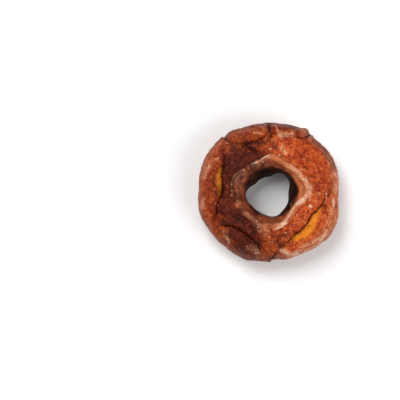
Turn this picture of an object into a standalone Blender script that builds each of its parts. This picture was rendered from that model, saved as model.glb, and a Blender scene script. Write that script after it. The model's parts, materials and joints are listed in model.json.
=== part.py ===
"""Old fashioned doughnut: one glazed cake ring, lying with its cracked side up.

Metres, +Z up. The origin is under the middle of the doughnut, on the plane that it rests on.
Angles round the ring are in degrees, counter-clockwise from +X as seen from above. The section's
angle phi is 0 at the outer side, 90 degrees at the top, 180 at the hole and 270 underneath.
"""

import math

import bpy
import numpy as np
from mathutils import Vector, noise

MM = 0.001

# Driving dimensions
OUTLINE_RADIUS = 46.6 * MM
HOLE_RADIUS = 15.0 * MM
THICKNESS = 31.0 * MM
WAIST_HEIGHT = 14.5 * MM
FOOT_SINK = 1.1 * MM  # how far the round underside would reach below the flat foot it is pressed to
TOP_FULLNESS = 2.15  # 2 is an ellipse, and more is squarer
HOLE_FULLNESS = 3.3  # likewise, over the top on the hole's side
FOOT_FULLNESS = 2.3

# The torus that is shaped, and the share of its faces that is kept
ROUND_STEPS = 400
SECTION_STEPS = 140
KEPT_SHARE = 0.155

# Swellings round the ring: (angle, spread, rise)
OUTLINE_LOBES = (
    (27, 10, 2.3 * MM),
    (58.5, 4.5, 2.4 * MM),
    (-35, 14, 3.6 * MM),
    (-116, 13, 1.3 * MM),
    (-161, 16, 1.8 * MM),
    (146, 18, 1.8 * MM),
)
CROWN_LOBES = (
    (38, 26, 0.9 * MM),
    (-55, 24, 0.5 * MM),
    (150, 30, 0.7 * MM),
    (-130, 22, -0.6 * MM),
)
CREASE_LOBES = (
    (5, 19, 4.6 * MM),
    (88, 9, 2.5 * MM),
    (-75, 8, 2.0 * MM),
    (-102, 8, 2.4 * MM),
    (-31, 14, -1.2 * MM),
    (165, 16, 2.6 * MM),
    (-150, 12, 1.4 * MM),
)

# Dough that swells into or away from the hole: (angle, spread, section angle, spread, rise)
HOLE_BULGES = (
    (118, 33, 198, 30, 4.6 * MM),
    (84, 11, 198, 28, 2.4 * MM),
    (153, 12, 198, 28, 2.6 * MM),
    (-6, 17, 195, 28, 1.7 * MM),
    (-82, 18, 180, 40, -2.0 * MM),
    (40, 18, 185, 40, -1.2 * MM),
    (-164, 26, 185, 40, -1.5 * MM),
)

# The smooth collar round the hole, and the lip and crease where it meets the torn crust
CREASE_RADIUS = 21.6 * MM
CREASE_DEPTH = 1.3 * MM
CREASE_WIDTH = 0.95 * MM
CREASE_WANDER = 0.5 * MM
LIP_RISE = 1.1 * MM
LIP_WIDTH = 1.7 * MM
LIP_LEAST = 0.35  # the share of its rise that the lip has where it is lowest
LIP_ANGLE = 18  # where the lip is highest
LIP_SPREAD_ANGLE = 48
COLLAR_DIP = 0.5 * MM
COLLAR_WIDTH = 2.0 * MM
SHOULDER_RISE = 0.6 * MM
SHOULDER_WIDTH = 2.4 * MM
SHOULDER_OUT = 4.0 * MM

# Cracks that part the outer petals from the body. Stations are (angle, radius in mm) along each.
# A crack is steep on its inner side, and opens gently on its outer side up to the petal.
CRACKS = {
    "golden": {
        "stations": (
            (-1, 41.5), (-9, 37.4), (-17, 35.4), (-26, 33.2), (-36, 32.8), (-45, 33.8),
            (-54, 34.4), (-64, 35.3), (-72, 36.6), (-79, 39.0), (-85, 43.0), (-89, 51.0),
        ),
        "depth": 3.5 * MM,
        "inner_width": 0.8 * MM,
        "outer_width": 4.8 * MM,
        "petal_rise": 0.6 * MM,
        "sway": 0.8 * MM,
    },
    "notch": {
        "stations": ((54.0, 52.0), (55.0, 47.6), (59, 43.4), (68, 41.2), (78, 39.8), (90, 39.6)),
        "depth": 2.8 * MM,
        "inner_width": 1.1 * MM,
        "outer_width": 2.0 * MM,
        "petal_rise": 0.4 * MM,
        "sway": 0.5 * MM,
    },
    "split": {
        "stations": ((87, 35.5), (89.5, 40.0), (90.5, 45.0), (91, 51.0)),
        "depth": 1.9 * MM,
        "inner_width": 1.0 * MM,
        "outer_width": 1.2 * MM,
        "petal_rise": 0.2 * MM,
        "sway": 0.5 * MM,
    },
    "upper_left": {
        "stations": ((90, 38.6), (101, 36.4), (113, 36.2), (123, 38.6), (129, 43.5), (130, 51.5)),
        "depth": 2.2 * MM,
        "inner_width": 0.9 * MM,
        "outer_width": 2.6 * MM,
        "petal_rise": 0.35 * MM,
        "sway": 1.8 * MM,
    },
    "left": {
        "stations": (
            (139, 47.0), (143, 41.0), (152, 36.6), (165, 34.2), (178, 33.4), (190, 34.8),
            (200, 38.6), (207, 43.0), (210, 47.0),
        ),
        "depth": 3.0 * MM,
        "inner_width": 0.9 * MM,
        "outer_width": 3.6 * MM,
        "petal_rise": 0.5 * MM,
        "sway": 2.2 * MM,
    },
    "lower_left": {
        "stations": (
            (-98, 46.5), (-99, 43.0), (-102, 39.0), (-109, 35.6), (-119, 33.2), (-131, 33.8),
            (-141, 37.2), (-146, 42.0),
        ),
        "depth": 2.6 * MM,
        "inner_width": 0.9 * MM,
        "outer_width": 3.0 * MM,
        "petal_rise": 0.5 * MM,
        "sway": 1.4 * MM,
    },
}
CRACK_STEPS = 5  # straight pieces between two stations
CRACK_WANDER = 0.7 * MM
CRACK_FADE = 0.16  # the share of a crack's length over which its depth comes in
PETAL_OUT = 2.0  # how far out the petal is highest, in widths of the crack's outer side
PETAL_SPREAD = 1.1  # its spread, likewise
LIP_BACK = 2.2 * MM  # the body's own raised edge, this far inside the crack
LIP_SPREAD = 1.3 * MM
LIP_SHARE = 0.5  # of the petal's rise

# The ledge where the body's crust stands over its outer side, between two cracks
LEDGE_ANGLES = (15, 53)
LEDGE_RADIUS = 43.9 * MM
LEDGE_DROP = 1.3 * MM
LEDGE_WIDTH = 1.2 * MM
LEDGE_WANDER = 0.8 * MM
LEDGE_ENDS = 6  # degrees over which the ledge comes in

# The seam round the outer side, with the upper crust standing out over the lower
SEAM_HEIGHT = 13.5 * MM
SEAM_WANDER = 1.8 * MM
SEAM_DEPTH = 0.7 * MM
SEAM_WIDTH = 1.5 * MM
OVERHANG = 0.9 * MM

# The groove and the broken crack under the doughnut
UNDER_RING_RADIUS = 23.5 * MM
UNDER_RING_DEPTH = 1.0 * MM
UNDER_RING_WIDTH = 1.4 * MM
UNDER_CRACK_RADIUS = 40.5 * MM
UNDER_CRACK_DEPTH = 1.6 * MM
UNDER_CRACK_WIDTH = 1.5 * MM
UNDER_CRACK_COUNT = 3
UNDER_WANDER = 1.2 * MM

# Unevenness of the fried dough: (size of a lump, height)
LUMPS = ((17.0 * MM, 1.0 * MM), (7.0 * MM, 0.65 * MM))
WANDER_SIZES = (4.5 * MM, 2.2 * MM)
BROAD_SIZE = 12.0 * MM
CRAG_SIZE = 3.6 * MM
CRAG_HEIGHT = 0.48 * MM

# Where each region of the section comes in, as a low and a high sine or cosine of phi
OVER_SPAN = (-0.25, 0.25)
HOLE_SPAN = (-0.1, 0.6)
TOP_SPAN = (-0.05, 0.30)
UNDER_SPAN = (0.10, 0.45)
TORN_SPAN = (0.15, 0.45)
OUTER_SPAN = (0.55, 0.85)

CRUST_COLOUR = (0.40, 0.095, 0.026, 1.0)
CRUST_ROUGHNESS = 0.38


def ramp(value, low, high):
    """0 below low and 1 above high, with a smooth turn between."""
    share = np.clip((value - low) / (high - low), 0.0, 1.0)
    return share * share * (3.0 - 2.0 * share)


def hump(away, width):
    """1 at the line and falling away over the width on both sides."""
    return np.exp(-((away / width) ** 2))


def bell(angle, centre, spread):
    """1 at the centre and falling away over the spread, round the circle, in degrees."""
    away = (np.degrees(angle) - centre + 180.0) % 360.0 - 180.0
    return hump(away, spread * math.sqrt(2.0))


def lobed(angle, mean, lobes):
    """A size that swells by each lobe's rise round its angle."""
    return mean + sum(rise * bell(angle, centre, spread) for centre, spread, rise in lobes)


def lumps(points, size, seed):
    """Smooth noise from -1 to 1 at each point, with lumps about as large as size."""
    shift = Vector((7.31, 3.17, 5.73)) * seed
    return np.array([noise.noise(Vector(point) / size + shift) for point in points])


def crags(points, size, seed):
    """Torn crust: from -0.5 between the crags to 0.5 on top of them."""
    shift = Vector((4.19, 6.37, 2.71)) * seed
    found = np.empty(len(points))
    for index, point in enumerate(points):
        nearest, _ = noise.voronoi(Vector(point) / size + shift)
        found[index] = nearest[1] - nearest[0]
    return np.clip(1.6 * found, 0.0, 1.0) - 0.5


def plain_ring(theta, phi):
    """The ring before its relief: points, outward normals, and each point's radius in plan."""
    outer = lobed(theta, OUTLINE_RADIUS, OUTLINE_LOBES)
    middle = (outer + HOLE_RADIUS) / 2
    half_width = (outer - HOLE_RADIUS) / 2
    over = ramp(np.sin(phi), *OVER_SPAN)
    crown = lobed(theta, THICKNESS - WAIST_HEIGHT, CROWN_LOBES)
    half_height = over * crown + (1 - over) * (WAIST_HEIGHT + FOOT_SINK)
    across, up = np.cos(phi), np.sin(phi)
    top_fullness = TOP_FULLNESS + (HOLE_FULLNESS - TOP_FULLNESS) * ramp(-across, *HOLE_SPAN)
    fullness = over * top_fullness + (1 - over) * FOOT_FULLNESS
    size = (np.abs(across) ** fullness + np.abs(up) ** fullness) ** (-1 / fullness)
    radius = middle + half_width * size * across
    height = WAIST_HEIGHT + half_height * size * up
    lean, rise = across * half_height, up * half_width
    length = np.hypot(lean, rise)
    lean, rise = lean / length, rise / length
    points = np.column_stack((radius * np.cos(theta), radius * np.sin(theta), height))
    normals = np.column_stack((lean * np.cos(theta), lean * np.sin(theta), rise))
    return points, normals, radius


def crack_line(crack):
    """Points of the plan along a smooth curve through the crack's stations."""
    angle, radius = np.array(crack["stations"]).T
    angle, radius = np.radians(angle), radius * MM
    knots = np.column_stack((radius * np.cos(angle), radius * np.sin(angle)))
    before, after = 2 * knots[0] - knots[1], 2 * knots[-1] - knots[-2]
    knots = np.vstack((before, knots, after))
    line = []
    for a, b, c, d in zip(knots, knots[1:], knots[2:], knots[3:]):
        for t in np.linspace(0, 1, CRACK_STEPS, endpoint=False):
            bend = (2 * a - 5 * b + 4 * c - d) * t ** 2 + (3 * b - a - 3 * c + d) * t ** 3
            line.append(b + ((c - a) * t + bend) / 2)
    return line + [knots[-2]]


def from_line(plan, line):
    """Each point's distance from a line of the plan, left of it positive, and its share of the way along."""
    total = sum(math.dist(a, b) for a, b in zip(line, line[1:]))
    nearest = np.full(len(plan), np.inf)
    side = np.ones(len(plan))
    along = np.zeros(len(plan))
    done = 0.0
    for a, b in zip(line, line[1:]):
        length = math.dist(a, b)
        way = (b - a) / length
        from_a = plan - a
        run = np.clip(from_a @ way, 0.0, length)
        away = np.linalg.norm(from_a - run[:, None] * way, axis=1)
        closer = away < nearest
        nearest[closer] = away[closer]
        side[closer] = np.sign(way[0] * from_a[closer, 1] - way[1] * from_a[closer, 0])
        along[closer] = (done + run[closer]) / total
        done += length
    return nearest * side, along


def crack_relief(crack, points, wander, broad):
    """The depth of one crack, and the rise of the petal outside it and of the body's edge."""
    left, along = from_line(points[:, :2], crack_line(crack))
    clockwise = crack["stations"][-1][0] < crack["stations"][0][0]
    away = (left if clockwise else -left) + wander + crack["sway"] * broad
    fade = ramp(along, 0.0, CRACK_FADE) * ramp(1.0 - along, 0.0, CRACK_FADE / 2)
    width = np.where(away < 0, crack["inner_width"], crack["outer_width"])
    reach = crack["outer_width"]
    depth = crack["depth"] * (0.9 + 0.5 * broad)
    petal = hump(away - PETAL_OUT * reach, PETAL_SPREAD * reach)
    lip = LIP_SHARE * hump(away + LIP_BACK, LIP_SPREAD)
    return fade * (crack["petal_rise"] * (petal + lip) - depth * hump(away, width))


def collar_relief(theta, radius, fine, broad):
    """The dipped collar round the hole, its lip, the crease outside it and the crust's shoulder."""
    out = radius - lobed(theta, CREASE_RADIUS, CREASE_LOBES) + CREASE_WANDER * (fine + broad)
    full = LIP_LEAST + (1 - LIP_LEAST) * bell(theta, LIP_ANGLE, LIP_SPREAD_ANGLE)
    lip = LIP_RISE * full * (0.9 + 0.6 * broad) * hump(out + LIP_WIDTH, LIP_WIDTH)
    opening = CREASE_DEPTH * (0.75 + 0.45 * fine + 0.5 * broad)
    crease = opening * hump(out - 0.7 * CREASE_WIDTH, CREASE_WIDTH)
    dip = COLLAR_DIP * hump(out + 2 * COLLAR_WIDTH, COLLAR_WIDTH)
    shoulder = SHOULDER_RISE * hump(out - SHOULDER_OUT, SHOULDER_WIDTH)
    return lip + shoulder - crease - dip


def ledge_relief(theta, radius, fine):
    """The outer side's drop below the edge of the crust."""
    low, high = LEDGE_ANGLES
    degrees = np.degrees(theta)
    span = ramp(degrees, low, low + LEDGE_ENDS) * ramp(high - degrees, 0, LEDGE_ENDS)
    edge = radius + LEDGE_WANDER * fine
    return -LEDGE_DROP * span * ramp(edge, LEDGE_RADIUS, LEDGE_RADIUS + LEDGE_WIDTH)


def seam_relief(height, fine, broad):
    """The seam round the outer side, and the upper crust standing out over it."""
    above = height - SEAM_HEIGHT + SEAM_WANDER * broad
    seam = SEAM_DEPTH * (0.7 + 0.6 * fine) * hump(above, SEAM_WIDTH)
    return OVERHANG * hump(above - 3 * SEAM_WIDTH, 2 * SEAM_WIDTH) - seam


def under_relief(theta, radius, broad):
    """The ring groove near the hole, and the broken crack nearer the rim, under the doughnut."""
    wander = UNDER_WANDER * broad
    ring = UNDER_RING_DEPTH * hump(radius - UNDER_RING_RADIUS + wander, UNDER_RING_WIDTH)
    open_here = ramp(np.sin(UNDER_CRACK_COUNT * theta + 0.8) + 0.6 * broad, -0.2, 0.5)
    crack = UNDER_CRACK_DEPTH * hump(radius - UNDER_CRACK_RADIUS - wander, UNDER_CRACK_WIDTH)
    return -ring - open_here * crack


def torn_crust(theta, phi, radius):
    """1 on the torn crust between the crease and the outer side, and 0 on smooth skin."""
    out = radius - lobed(theta, CREASE_RADIUS, CREASE_LOBES)
    return ramp(out, CREASE_WIDTH / 2, 2 * CREASE_WIDTH) * ramp(np.sin(phi), *TORN_SPAN)


def surface(theta, phi):
    """Points of the doughnut's skin, for angles round the ring and round its section."""
    points, normals, radius = plain_ring(theta, phi)
    fine, finer = (lumps(points, size, seed) for seed, size in enumerate(WANDER_SIZES, start=1))
    broad = lumps(points, BROAD_SIZE, 3)
    top = ramp(np.sin(phi), *TOP_SPAN)

    relief = collar_relief(theta, radius, fine, broad) + ledge_relief(theta, radius, fine)
    wander = CRACK_WANDER * (fine + 0.6 * finer)
    for crack in CRACKS.values():
        relief += crack_relief(crack, points, wander, broad)
    relief *= top
    relief += ramp(-np.sin(phi), *UNDER_SPAN) * under_relief(theta, radius, broad)
    relief += ramp(np.cos(phi), *OUTER_SPAN) * seam_relief(points[:, 2], fine, broad)
    for angle, spread, level, level_spread, rise in HOLE_BULGES:
        relief += rise * bell(theta, angle, spread) * bell(phi, level, level_spread)
    for seed, (size, height) in enumerate(LUMPS, start=4):
        relief += height * lumps(points, size, seed)
    relief += CRAG_HEIGHT * torn_crust(theta, phi, radius) * crags(points, CRAG_SIZE, 6)
    return points + normals * relief[:, None]


def crust_material():
    """Fried crust under a thin glaze."""
    material = bpy.data.materials.new("fried_crust")
    material.use_nodes = True
    shader = material.node_tree.nodes["Principled BSDF"]
    shader.inputs["Base Color"].default_value = CRUST_COLOUR
    shader.inputs["Roughness"].default_value = CRUST_ROUGHNESS
    shader.inputs["Metallic"].default_value = 0.0
    material.diffuse_color = CRUST_COLOUR
    return material


def coordinates(mesh):
    flat = np.empty(len(mesh.vertices) * 3)
    mesh.vertices.foreach_get("co", flat)
    return flat.reshape(-1, 3)


def shape(mesh, major):
    """Moves each point of the torus onto the doughnut's skin."""
    torus = coordinates(mesh)
    theta = np.arctan2(torus[:, 1], torus[:, 0])
    phi = np.arctan2(torus[:, 2], np.hypot(torus[:, 0], torus[:, 1]) - major)
    mesh.vertices.foreach_set("co", surface(theta, phi).ravel())


def seat(mesh):
    """Presses the foot flat and centres the outline over the origin."""
    points = coordinates(mesh)
    points[:, 2] = np.maximum(points[:, 2], 0.0)
    points[:, :2] -= (points[:, :2].min(axis=0) + points[:, :2].max(axis=0)) / 2
    mesh.vertices.foreach_set("co", points.ravel())


def thin_out(doughnut):
    """Joins the small faces of smooth skin, and keeps those of the cracks."""
    modifier = doughnut.modifiers.new("thin_out", "DECIMATE")
    modifier.ratio = KEPT_SHARE
    bpy.ops.object.modifier_apply(modifier=modifier.name)


def make_doughnut(collection):
    """A torus shaped into the doughnut."""
    minor = (OUTLINE_RADIUS - HOLE_RADIUS) / 2
    major = HOLE_RADIUS + minor
    bpy.ops.mesh.primitive_torus_add(
        major_segments=ROUND_STEPS,
        minor_segments=SECTION_STEPS,
        major_radius=major,
        minor_radius=minor,
    )
    doughnut = bpy.context.object
    doughnut.name = doughnut.data.name = "doughnut"
    shape(doughnut.data, major)
    seat(doughnut.data)
    thin_out(doughnut)
    seat(doughnut.data)
    doughnut.data.shade_smooth()
    doughnut.data.materials.append(crust_material())
    for holder in list(doughnut.users_collection):
        holder.objects.unlink(doughnut)
    collection.objects.link(doughnut)


def main():
    for old in list(bpy.data.objects):
        bpy.data.objects.remove(old, do_unlink=True)
    collection = bpy.data.collections.new("Old fashioned doughnut")
    bpy.context.scene.collection.children.link(collection)
    make_doughnut(collection)


main()
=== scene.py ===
"""Looks of the old fashioned doughnut: fried, torn crust under a thin sugar glaze, seen from above.

Metres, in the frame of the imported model: +Z up, the origin under the middle of the doughnut.
Angles round the ring are in degrees, counter-clockwise from +X as seen from above. The section's
angle phi is 0 at the outer side, 90 degrees at the top, 180 at the hole and 270 underneath.
A value whose name ends in VARIES or STRAY is a mean, and then a share for each noise added to it.
"""

import json
import math

import bpy
import numpy as np
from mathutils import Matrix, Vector, noise

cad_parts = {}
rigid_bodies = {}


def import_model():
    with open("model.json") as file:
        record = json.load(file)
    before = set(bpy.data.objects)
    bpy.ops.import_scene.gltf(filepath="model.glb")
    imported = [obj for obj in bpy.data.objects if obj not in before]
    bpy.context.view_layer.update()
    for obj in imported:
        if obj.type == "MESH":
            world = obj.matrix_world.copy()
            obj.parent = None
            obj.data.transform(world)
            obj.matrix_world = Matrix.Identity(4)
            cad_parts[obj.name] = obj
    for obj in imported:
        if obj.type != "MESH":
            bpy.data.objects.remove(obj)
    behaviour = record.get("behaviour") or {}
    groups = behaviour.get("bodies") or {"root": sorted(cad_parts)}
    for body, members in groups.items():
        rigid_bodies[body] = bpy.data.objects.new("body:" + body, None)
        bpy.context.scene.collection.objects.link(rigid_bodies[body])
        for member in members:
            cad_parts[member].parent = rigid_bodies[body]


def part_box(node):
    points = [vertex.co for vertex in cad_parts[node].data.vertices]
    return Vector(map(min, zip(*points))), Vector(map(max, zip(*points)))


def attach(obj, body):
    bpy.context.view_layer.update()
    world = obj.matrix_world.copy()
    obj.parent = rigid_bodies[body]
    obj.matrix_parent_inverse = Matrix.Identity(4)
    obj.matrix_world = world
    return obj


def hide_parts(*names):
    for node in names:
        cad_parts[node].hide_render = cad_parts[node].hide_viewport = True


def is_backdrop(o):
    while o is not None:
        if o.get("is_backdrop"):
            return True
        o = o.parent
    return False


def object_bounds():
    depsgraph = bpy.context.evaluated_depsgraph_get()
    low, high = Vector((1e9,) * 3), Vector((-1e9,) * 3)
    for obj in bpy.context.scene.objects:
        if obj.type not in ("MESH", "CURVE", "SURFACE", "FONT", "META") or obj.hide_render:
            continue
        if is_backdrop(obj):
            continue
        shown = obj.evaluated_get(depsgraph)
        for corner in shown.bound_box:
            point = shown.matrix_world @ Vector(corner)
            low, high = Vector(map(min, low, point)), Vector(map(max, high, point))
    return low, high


MM = 0.001

# The seed of each noise; layers and the numbered crumbs count up from theirs
SEEDS = {
    "stray": 1,
    "lumps": 4,
    "crags": 6,
    "grit": 7,
    "grain": 9,
    "pits": 10,
    "ragged": 11,
    "crumb": 13,
    "pores": 14,
    "wrinkles": 15,
    "base_pits": 16,
    "glaze_breaks": 21,
    "glaze_patches": 22,
    "streaks": 23,
    "crumbs": 30,
}
LUMPS_SHIFT = Vector((7.31, 3.17, 5.73))
CRAGS_SHIFT = Vector((4.19, 6.37, 2.71))
CRAGS_STEEPNESS = 1.6

# The ring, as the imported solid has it
OUTLINE_RADIUS = 46.6 * MM
HOLE_RADIUS = 15.0 * MM
THICKNESS = 31.0 * MM
WAIST_HEIGHT = 14.5 * MM
FOOT_SINK = 1.1 * MM
TOP_FULLNESS = 2.15
HOLE_FULLNESS = 3.3
FOOT_FULLNESS = 2.3

OUTLINE_LOBES = (
    (27, 10, 2.3 * MM),
    (58.5, 4.5, 2.4 * MM),
    (-35, 14, 3.6 * MM),
    (-116, 13, 1.3 * MM),
    (-161, 16, 1.8 * MM),
    (146, 18, 1.8 * MM),
)
CROWN_LOBES = (
    (38, 26, 0.9 * MM),
    (-55, 24, 0.5 * MM),
    (150, 30, 0.7 * MM),
    (-130, 22, -0.6 * MM),
)
CREASE_LOBES = (
    (5, 19, 4.6 * MM),
    (88, 9, 2.5 * MM),
    (-75, 8, 2.0 * MM),
    (-102, 8, 2.4 * MM),
    (-31, 14, -1.2 * MM),
    (165, 16, 2.6 * MM),
    (-150, 12, 1.4 * MM),
)
HOLE_BULGES = (
    (118, 33, 198, 30, 4.6 * MM),
    (84, 11, 198, 28, 2.4 * MM),
    (153, 12, 198, 28, 2.6 * MM),
    (-6, 17, 195, 28, 1.7 * MM),
    (-82, 18, 180, 40, -2.0 * MM),
    (40, 18, 185, 40, -1.2 * MM),
    (-164, 26, 185, 40, -1.5 * MM),
)

CREASE_RADIUS = 21.6 * MM
CREASE_DEPTH = 1.3 * MM
CREASE_WIDTH = 0.95 * MM
CREASE_WANDER = 0.5 * MM
CREASE_SKEW = 0.7
CREASE_VARIES = (0.75, 0.45, 0.5)
LIP_RISE = 1.1 * MM
LIP_WIDTH = 1.7 * MM
LIP_VARIES = (0.9, 0.6)
LIP_LEAST = 0.35
LIP_ANGLE = 18
LIP_SPREAD_ANGLE = 48
COLLAR_DIP = 0.5 * MM
COLLAR_WIDTH = 2.0 * MM
SHOULDER_RISE = 0.6 * MM
SHOULDER_WIDTH = 2.4 * MM
SHOULDER_OUT = 4.0 * MM

# Cracks, with the share of bare golden crumb that shows in each
CRACKS = {
    "golden": {
        "stations": (
            (-1, 41.5), (-9, 37.4), (-17, 35.4), (-26, 33.2), (-36, 32.8), (-45, 33.8),
            (-54, 34.4), (-64, 35.3), (-72, 36.6), (-79, 39.0), (-85, 43.0), (-89, 51.0),
        ),
        "depth": 3.5 * MM,
        "inner_width": 0.8 * MM,
        "outer_width": 4.8 * MM,
        "petal_rise": 0.6 * MM,
        "sway": 0.8 * MM,
        "crumb": 1.08,
        "crumb_span": (0.155, 0.71),
    },
    "notch": {
        "stations": ((54.0, 52.0), (55.0, 47.6), (59, 43.4), (68, 41.2), (78, 39.8), (90, 39.6)),
        "depth": 2.8 * MM,
        "inner_width": 1.1 * MM,
        "outer_width": 2.0 * MM,
        "petal_rise": 0.4 * MM,
        "sway": 0.5 * MM,
        "crumb": 0.05,
        "crumb_span": (0.1, 0.6),
    },
    "split": {
        "stations": ((87, 35.5), (89.5, 39.5), (90.5, 43.5), (91, 46.6)),
        "depth": 1.9 * MM,
        "inner_width": 1.0 * MM,
        "outer_width": 1.2 * MM,
        "petal_rise": 0.2 * MM,
        "sway": 0.5 * MM,
        "crumb": 0.1,
        "crumb_span": (0.2, 0.8),
    },
    "upper_left": {
        "stations": ((90, 38.6), (101, 36.4), (113, 36.2), (123, 38.6), (129, 43.5), (130, 51.5)),
        "depth": 2.2 * MM,
        "inner_width": 0.9 * MM,
        "outer_width": 2.6 * MM,
        "petal_rise": 0.35 * MM,
        "sway": 1.8 * MM,
        "crumb": 0.05,
        "crumb_span": (0.2, 0.8),
    },
    "left": {
        "stations": (
            (139, 47.0), (143, 41.0), (152, 36.6), (165, 34.2), (178, 33.4), (190, 34.8),
            (200, 38.6), (207, 43.0), (210, 47.0),
        ),
        "depth": 3.0 * MM,
        "inner_width": 0.9 * MM,
        "outer_width": 3.6 * MM,
        "petal_rise": 0.5 * MM,
        "sway": 2.2 * MM,
        "crumb": 0.42,
        "crumb_span": (0.22, 0.66),
    },
    "lower_left": {
        "stations": (
            (-98, 46.5), (-99, 43.0), (-102, 39.0), (-109, 35.6), (-119, 33.2), (-131, 33.8),
            (-141, 37.2), (-146, 42.0),
        ),
        "depth": 2.6 * MM,
        "inner_width": 0.9 * MM,
        "outer_width": 3.0 * MM,
        "petal_rise": 0.5 * MM,
        "sway": 1.4 * MM,
        "crumb": 0.05,
        "crumb_span": (0.2, 0.7),
    },
}
# Small cracks, each given by its stations, its sizes in mm and its share of crumb
NICKS = tuple(
    {
        "stations": stations,
        "depth": depth * MM,
        "inner_width": inner_width * MM,
        "outer_width": outer_width * MM,
        "petal_rise": petal_rise * MM,
        "sway": sway * MM,
        "crumb": crumb,
        "crumb_span": (0.2, 0.8),
    }
    for stations, depth, inner_width, outer_width, petal_rise, sway, crumb in (
        (((0.5, 42.4), (-2.0, 41.2), (-5.5, 40.4)), 1.3, 0.6, 0.9, 0.2, 0.0, 0.0),
        (((-12.0, 39.6), (-17.0, 40.4), (-22.0, 41.8)), 1.0, 0.5, 1.0, 0.3, 0.0, 0.3),
        (((-122.0, 27.5), (-113.0, 26.6), (-104.0, 26.4)), 1.2, 0.6, 1.0, 0.2, 0.6, 0.0),
        (((104.0, 26.0), (110.0, 29.0), (118.0, 33.0)), 0.9, 0.6, 1.0, 0.2, 0.6, 0.0),
    )
)
CRACK_STEPS = 5
CRACK_WANDER = 0.7 * MM
CRACK_STRAY = (0.0, 1.0, 0.6)
CRACK_VARIES = (0.9, 0.5)
CRACK_FADE = 0.16
PETAL_OUT = 2.0
PETAL_SPREAD = 1.1
LIP_BACK = 2.2 * MM
LIP_SPREAD = 1.3 * MM
LIP_SHARE = 0.5

LEDGE_ANGLES = (15, 53)
LEDGE_RADIUS = 43.9 * MM
LEDGE_DROP = 1.3 * MM
LEDGE_WIDTH = 1.2 * MM
LEDGE_WANDER = 0.8 * MM
LEDGE_ENDS = 6

SEAM_HEIGHT = 13.5 * MM
SEAM_WANDER = 1.8 * MM
SEAM_DEPTH = 0.7 * MM
SEAM_WIDTH = 1.5 * MM
SEAM_VARIES = (0.7, 0.6)
OVERHANG = 0.9 * MM

UNDER_RING_RADIUS = 23.5 * MM
UNDER_RING_DEPTH = 1.0 * MM
UNDER_RING_WIDTH = 1.4 * MM
UNDER_CRACK_RADIUS = 40.5 * MM
UNDER_CRACK_DEPTH = 1.6 * MM
UNDER_CRACK_WIDTH = 1.5 * MM
UNDER_CRACK_COUNT = 3
UNDER_CRACK_TURN = 0.8
UNDER_CRACK_BREAKS = 0.6
UNDER_CRACK_SPAN = (-0.2, 0.5)
UNDER_WANDER = 1.2 * MM

LUMPS = ((17.0 * MM, 1.0 * MM), (7.0 * MM, 0.65 * MM))
# The fine, finer and broad noise that lines stray by
STRAY_SIZES = (4.5 * MM, 2.2 * MM, 12.0 * MM)
CRAG_SIZE = 3.6 * MM
CRAG_HEIGHT = 0.48 * MM

# Where on the section a thing fades in: by how far up, down, out or in it is
OVER_SPAN = (-0.25, 0.25)
TOP_SPAN = (-0.05, 0.30)
TORN_SPAN = (0.15, 0.45)
EDGING_SPAN = (-0.2, 0.3)
RIM_GLAZE_SPAN = (-0.35, 0.15)
UNDER_SPAN = (0.10, 0.45)
BELOW_SPAN = (0.2, 0.6)
BASE_SPAN = (0.5, 0.8)
OUTER_SPAN = (0.55, 0.85)
SIDE_SPAN = (0.0, 0.5)
HOLE_SPAN = (-0.1, 0.6)
INNER_SPAN = (0.0, 0.3)

# The fine mesh, with its rows closer together over the top than underneath
ROUND_STEPS = 560
SECTION_STEPS = 178
TOP_CROWDING = 0.40

# Fine relief of the torn crust
RAGGED_SIZES = ((1.6 * MM, 0.60 * MM), (0.85 * MM, 0.28 * MM))
CRUMB_LAYERS = ((1.9 * MM, 0.28 * MM), (1.15 * MM, 0.18 * MM))
GRAIN_SIZE = 0.8 * MM
GRAIN_HEIGHT = 0.15 * MM
PIT_SIZE = 2.4 * MM
PIT_DEPTH = 0.55 * MM
PIT_SPAN = (0.30, 0.55)
PIT_SHADE = 0.5
EDGING_ROUGH = 0.7
GLAZE_SMOOTHS = 0.75
CRUMB_SMOOTHS = 0.7
CRUMB_SMOOTH_GAIN = 1.6
TORN_RADIUS = 44.6 * MM
TORN_LOBES = (
    (-5, 14, 2.2 * MM),
    (-42, 18, 3.0 * MM),
    (75, 14, 1.2 * MM),
    (135, 18, 1.4 * MM),
    (185, 24, 1.9 * MM),
    (-130, 20, 1.5 * MM),
)
TORN_FADE = 1.8 * MM
SIDE_PORE_SIZE = 1.3 * MM
SIDE_PORE_DEPTH = 0.16 * MM
SIDE_PORE_SPAN = (0.25, 0.5)
SIDE_WRINKLE_SIZE = 3.2 * MM
SIDE_WRINKLE_HEIGHT = 0.32 * MM
BASE_PIT_SIZE = 1.7 * MM
BASE_PIT_DEPTH = 0.22 * MM
BASE_PIT_SPAN = (0.1, 0.4)
SLOT_DEPTH = 1.6 * MM
SLOT_WIDTH = 0.5 * MM
SLOT_OUT = 0.1 * MM
CRUMB_OUT = 2.6 * MM
CRUMB_WIDTH = 2.6 * MM
CRUMB_ROUGH = 0.20 * MM
CRUMB_ROUGH_SIZE = 1.0 * MM
CRUMB_TAPER = 0.85
CRUMB_END_SHARE = 0.35

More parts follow.
